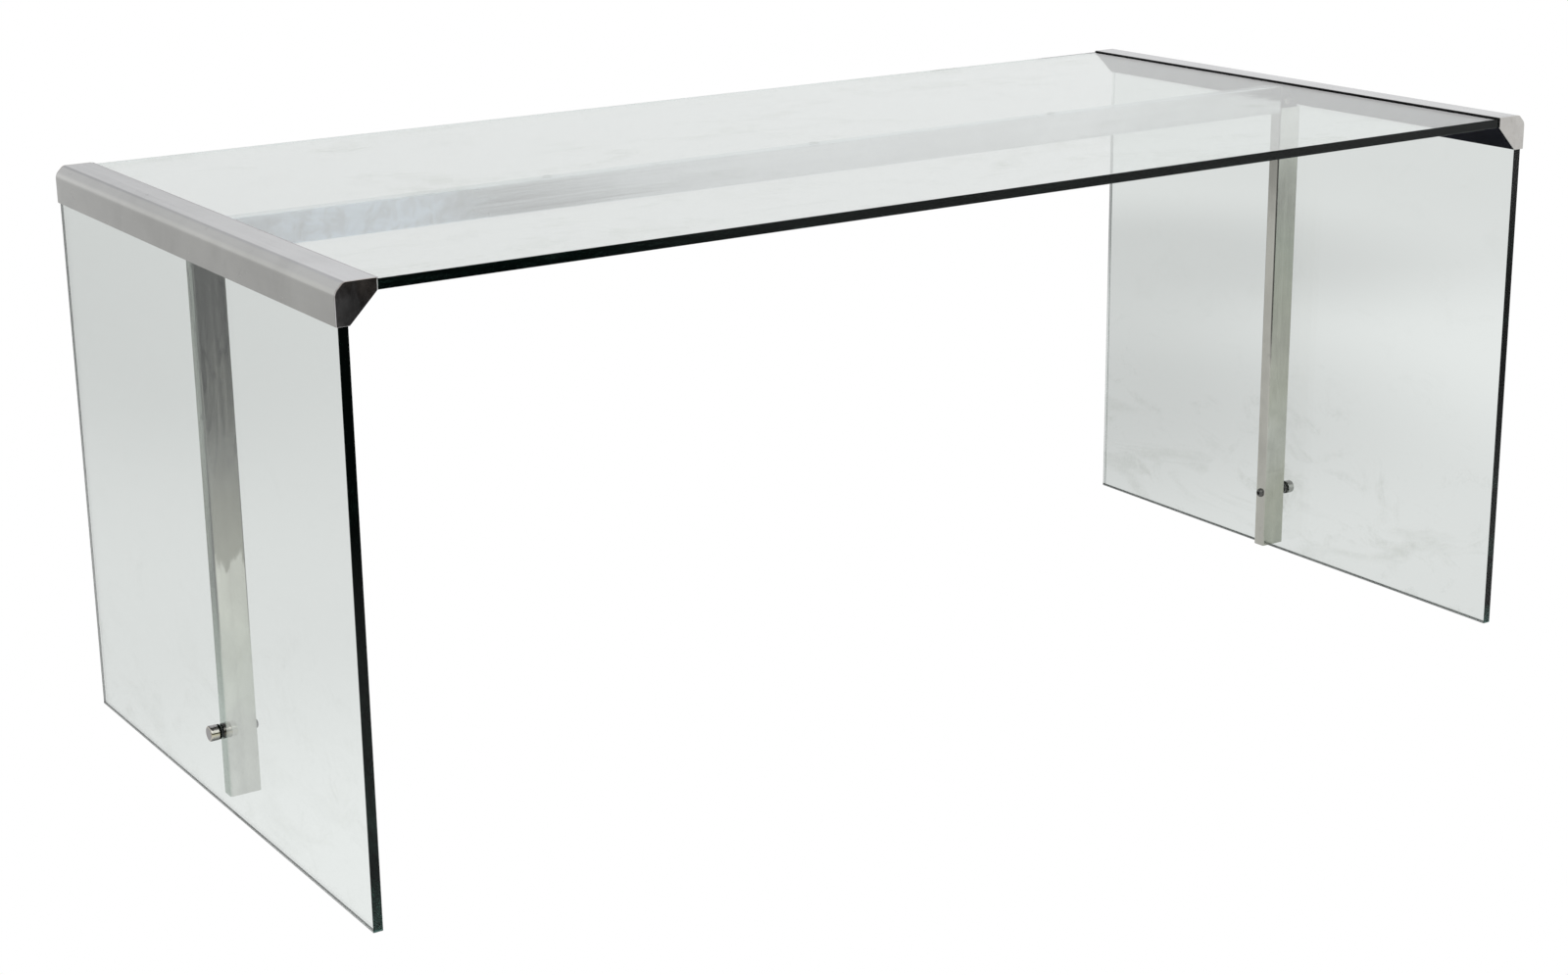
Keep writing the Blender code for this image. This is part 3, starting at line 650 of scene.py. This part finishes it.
# ---------------------------------------------------------------------- studio
def studio_floor():
    """A pale seamless floor, 0.5 mm below the feet, that glows rather than being lit.

    The camera sees it evenly bright. In reflections and through the glass it has soft dark and light
    pools, which stand for the room that the real steel mirrors."""
    reach, drop = 40.0, 0.0005
    corners = [(reach * x, reach * y, -drop) for x, y in ((-1, -1), (1, -1), (1, 1), (-1, 1))]
    mesh = bpy.data.meshes.new("studio_floor")
    mesh.from_pydata(corners, [], [(0, 1, 2, 3)])
    floor = bpy.data.objects.new("studio_floor", mesh)
    bpy.context.scene.collection.objects.link(floor)
    t = Tree("studio_floor")
    x, y = t.axis(X), t.axis(Y)

    def pool(centre_x, centre_y, radius_x, radius_y, inner, outer):
        """1 inside an oval pool on the floor, falling smoothly to 0 outside."""
        across = t.math("DIVIDE", t.math("SUBTRACT", x, centre_x), radius_x)
        along = t.math("DIVIDE", t.math("SUBTRACT", y, centre_y), radius_y)
        distance = t.math("SQRT", t.math("ADD", t.both(across, across), t.both(along, along)))
        return t.span(distance, inner, outer, 1.0, 0.0, True)

    path = t.tree.nodes.new("ShaderNodeLightPath")
    mirrored = t.math("SUBTRACT", 1.0, path.outputs["Is Transmission Ray"])
    level = t.span(y, 3.0, 8.0, 0.79, 0.95, True)
    rear_left = t.both(t.span(x, -0.9, -1.6, 0.0, 1.0, True), t.span(y, 0.6, 2.0, 0.0, 1.0, True))
    level = t.cut(level, rear_left, 0.42)
    # The darkest pool, in front of the desk, shows in the steel but not through the glass.
    level = t.cut(level, t.both(pool(0.22, -3.0, 1.33, 1.9, 0.65, 1.2), mirrored), 0.97)
    for share, place in (
        (0.48, (2.4, -1.8, 1.3, 1.2, 0.4, 1.3)),
        (-0.10, (4.3, -3.4, 2.0, 1.6, 0.4, 1.2)),
        (-0.14, (-0.9, -0.5, 1.1, 0.9, 0.3, 1.2)),
        (-0.11, (2.3, 0.4, 0.9, 0.9, 0.3, 1.2)),
        (0.18, (1.15, 1.0, 0.75, 0.8, 0.3, 1.3)),
        (0.15, (2.1, 1.8, 0.7, 0.7, 0.3, 1.3)),
    ):
        level = t.cut(level, pool(*place), share)
    seen = t.tree.nodes.new("ShaderNodeMix")
    t.link(path.outputs["Is Camera Ray"], seen.inputs["Factor"])
    t.link(level, seen.inputs[2])
    seen.inputs[3].default_value = 1.0
    glow = t.tree.nodes.new("ShaderNodeEmission")
    t.link(seen.outputs[0], glow.inputs["Strength"])
    t.link(glow.outputs[0], t.output.inputs["Surface"])
    mesh.materials.append(t.material)


def studio_world():
    """A bright backdrop, dimmer on the left and halfway up, brightest overhead, white to the camera.

    The heights in stops are parts of the direction, 0 at the horizon and 1 straight up."""
    world = bpy.data.worlds.new("studio")
    world.use_nodes = True
    bpy.context.scene.world = world
    tree = world.node_tree
    background = tree.nodes["Background"]
    coords = tree.nodes.new("ShaderNodeTexCoord")
    parts = tree.nodes.new("ShaderNodeSeparateXYZ")
    tree.links.new(coords.outputs["Generated"], parts.inputs[0])

    ramp = tree.nodes.new("ShaderNodeValToRGB")
    tree.links.new(parts.outputs[Z], ramp.inputs[0])
    stops = ((0.0, 0.94), (0.38, 0.94), (0.55, 0.78), (0.70, 0.70), (1.0, 1.3))
    elements = ramp.color_ramp.elements
    while len(elements) < len(stops):
        elements.new(0.5)
    for element, (height, level) in zip(elements, stops):
        element.position = height
        element.color = (level, level, level * 1.005, 1.0)
    tree.links.new(ramp.outputs[0], background.inputs["Color"])

    side = tree.nodes.new("ShaderNodeMapRange")
    side.interpolation_type = "SMOOTHSTEP"
    tree.links.new(parts.outputs[X], side.inputs["Value"])
    for name, number in (("From Min", -0.5), ("From Max", 0.8), ("To Min", 0.72), ("To Max", 1.0)):
        side.inputs[name].default_value = number
    path = tree.nodes.new("ShaderNodeLightPath")
    seen = tree.nodes.new("ShaderNodeMix")
    tree.links.new(path.outputs["Is Camera Ray"], seen.inputs["Factor"])
    tree.links.new(side.outputs["Result"], seen.inputs[2])
    seen.inputs[3].default_value = 1.06
    tree.links.new(seen.outputs[0], background.inputs["Strength"])


def studio_light(name, place, target, size, power):
    """A soft rectangular lamp that looks at target."""
    data = bpy.data.lights.new(name, "AREA")
    data.shape = "RECTANGLE"
    data.size, data.size_y = size
    data.energy = power
    light = bpy.data.objects.new(name, data)
    light.location = place
    direction = Vector(target) - Vector(place)
    light.rotation_euler = direction.to_track_quat("-Z", "Y").to_euler()
    bpy.context.scene.collection.objects.link(light)


def studio_camera():
    """The photograph's viewing angle."""
    data = bpy.data.cameras.new("main_view")
    data.sensor_width = 36.0
    data.lens = 62.59
    data.shift_x = 0.0129
    data.shift_y = -0.0158
    data.clip_start = 0.05
    data.clip_end = 200.0
    camera = bpy.data.objects.new("main_view", data)
    camera.location = (-1.9977, -2.9578, 1.3377)
    camera.rotation_euler = [math.radians(angle) for angle in (73.6335, 0.7707, -33.1091)]
    bpy.context.scene.collection.objects.link(camera)
    bpy.context.scene.camera = camera


studio_floor()
studio_world()
studio_light("key", (-1.5, -2.5, 4.0), (0, 0, 0.5), (3.5, 3.5), 60)
studio_camera()
bpy.context.scene.view_settings.view_transform = "Standard"
